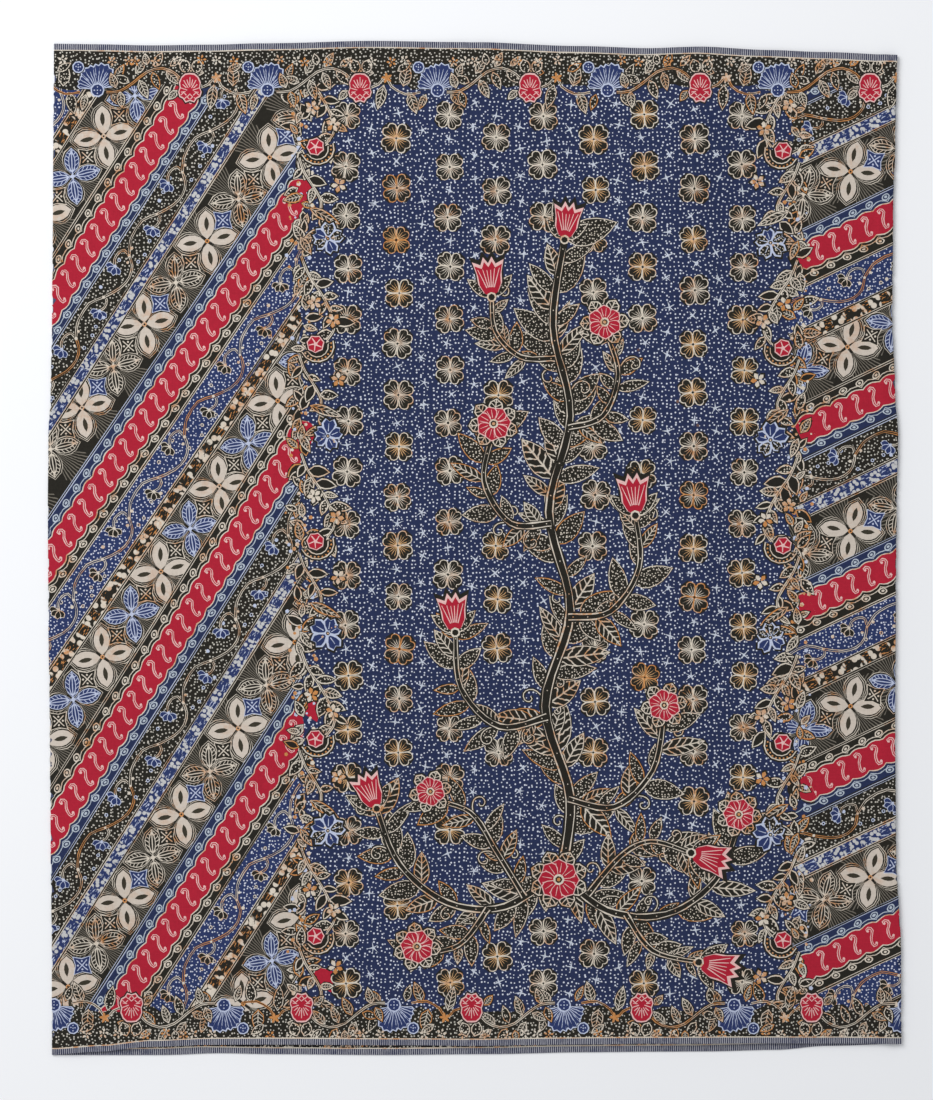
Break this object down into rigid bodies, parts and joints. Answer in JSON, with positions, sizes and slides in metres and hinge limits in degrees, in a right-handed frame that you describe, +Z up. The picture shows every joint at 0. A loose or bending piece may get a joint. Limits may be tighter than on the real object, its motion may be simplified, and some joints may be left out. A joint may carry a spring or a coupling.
{
  "type": "batik tube sarong",
  "caption": "Rectangular cotton tube sarong laid flat in two layers, folded at the left and seamed at the right, with dyed batik bands, floral borders and a blossom field.",
  "frame": {"origin": "centre of the flat underside, on the surface that the laid sarong rests on", "axes": "+X across the tube from the fold to the seam, +Y from the lower edge to the upper edge, +Z up from the surface"},
  "size_m": [0.8914, 1.059, 0.006],
  "materials": {
    "batik_cotton": "matt plain-weave cotton, resist dyed indigo, black and red with undyed cream lines"
  },
  "bodies": {
    "root": {"front_panel": "batik_cotton", "back_panel": "batik_cotton"}
  },
  "joints": []
}
